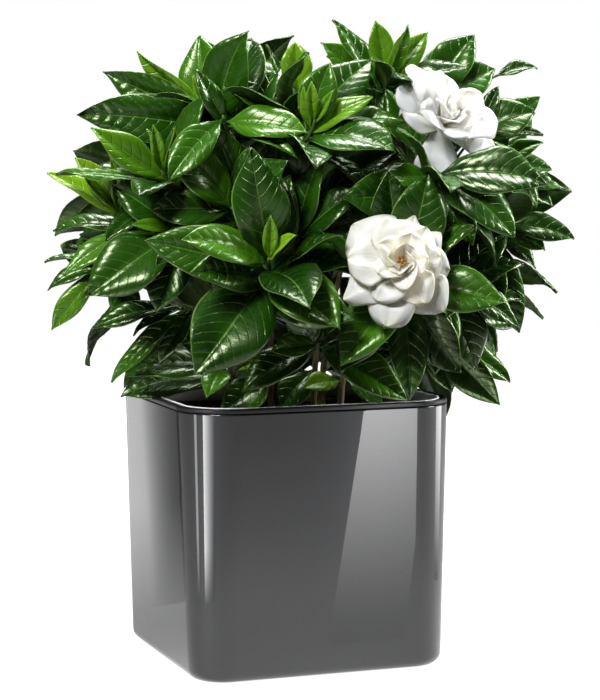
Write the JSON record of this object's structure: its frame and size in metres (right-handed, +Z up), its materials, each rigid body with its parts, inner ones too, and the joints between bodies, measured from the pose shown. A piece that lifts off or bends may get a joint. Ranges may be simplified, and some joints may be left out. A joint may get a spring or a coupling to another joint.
{
  "type": "potted gardenia",
  "caption": "Flowering gardenia shrub with glossy dark leaves and white double flowers, in a tall square planter with rounded corners and a removable liner.",
  "frame": {"origin": "centre of the planter's underside, on the surface it stands on", "axes": "+Z up along the stems; X and Y square to the planter's side walls, with -Y at the wall that faces a viewer at the front; the plant's fullest side, with both flowers, faces (-0.34, -0.94, 0)"},
  "size_m": [0.3302, 0.3319, 0.3828],
  "materials": {
    "planter": "high gloss charcoal with a metallic flake",
    "liner": "satin black",
    "soil": "rough potting mix",
    "stem": "thin matt bark",
    "leaf": "glossy dark green, young tips lighter",
    "calyx": "satin green",
    "petal": "soft creamy white",
    "stamen": "matt amber"
  },
  "bodies": {
    "root": {"planter": "planter", "liner": "liner", "soil": "soil", "stem_1": "stem", "stem_2": "stem", "stem_3": "stem", "stem_4": "stem", "stem_5": "stem", "stem_6": "stem", "shoot_flower_front": "leaf", "shoot_flower_top": "leaf", "shoot_front": "leaf", "shoot_centre": "leaf", "shoot_centre_left": "leaf", "shoot_upper_inner": "leaf", "shoot_arch": "leaf", "shoot_upper_centre": "leaf", "shoot_top_left": "leaf", "shoot_left_top": "leaf", "shoot_far_left": "leaf", "shoot_left_mid": "leaf", "shoot_left_hang": "leaf", "shoot_left_low": "leaf", "shoot_soil_left": "leaf", "shoot_low_front": "leaf", "shoot_top_mid": "leaf", "shoot_top_right_centre": "leaf", "shoot_top_right": "leaf", "shoot_sprig": "leaf", "shoot_right_up": "leaf", "shoot_right_mid": "leaf", "shoot_right_big": "leaf", "shoot_right_low": "leaf", "shoot_right_under": "leaf", "shoot_low_right": "leaf", "shoot_back_1_1": "leaf", "shoot_back_1_2": "leaf", "shoot_back_1_3": "leaf", "shoot_back_2_1": "leaf", "shoot_back_2_2": "leaf", "shoot_back_2_3": "leaf", "shoot_back_2_4": "leaf", "shoot_back_3_1": "leaf", "shoot_back_3_2": "leaf", "shoot_back_3_3": "leaf", "shoot_back_3_4": "leaf", "shoot_back_4_1": "leaf", "shoot_back_4_2": "leaf", "flower_front_tube": "calyx", "flower_front_outer_petals": "petal", "flower_front_middle_petals": "petal", "flower_front_inner_petals": "petal", "flower_front_heart_petals": "petal", "flower_front_stamens": "stamen", "flower_top_tube": "calyx", "flower_top_outer_petals": "petal", "flower_top_middle_petals": "petal", "flower_top_inner_petals": "petal", "flower_top_heart_petals": "petal", "flower_top_stamens": "stamen"}
  },
  "joints": []
}
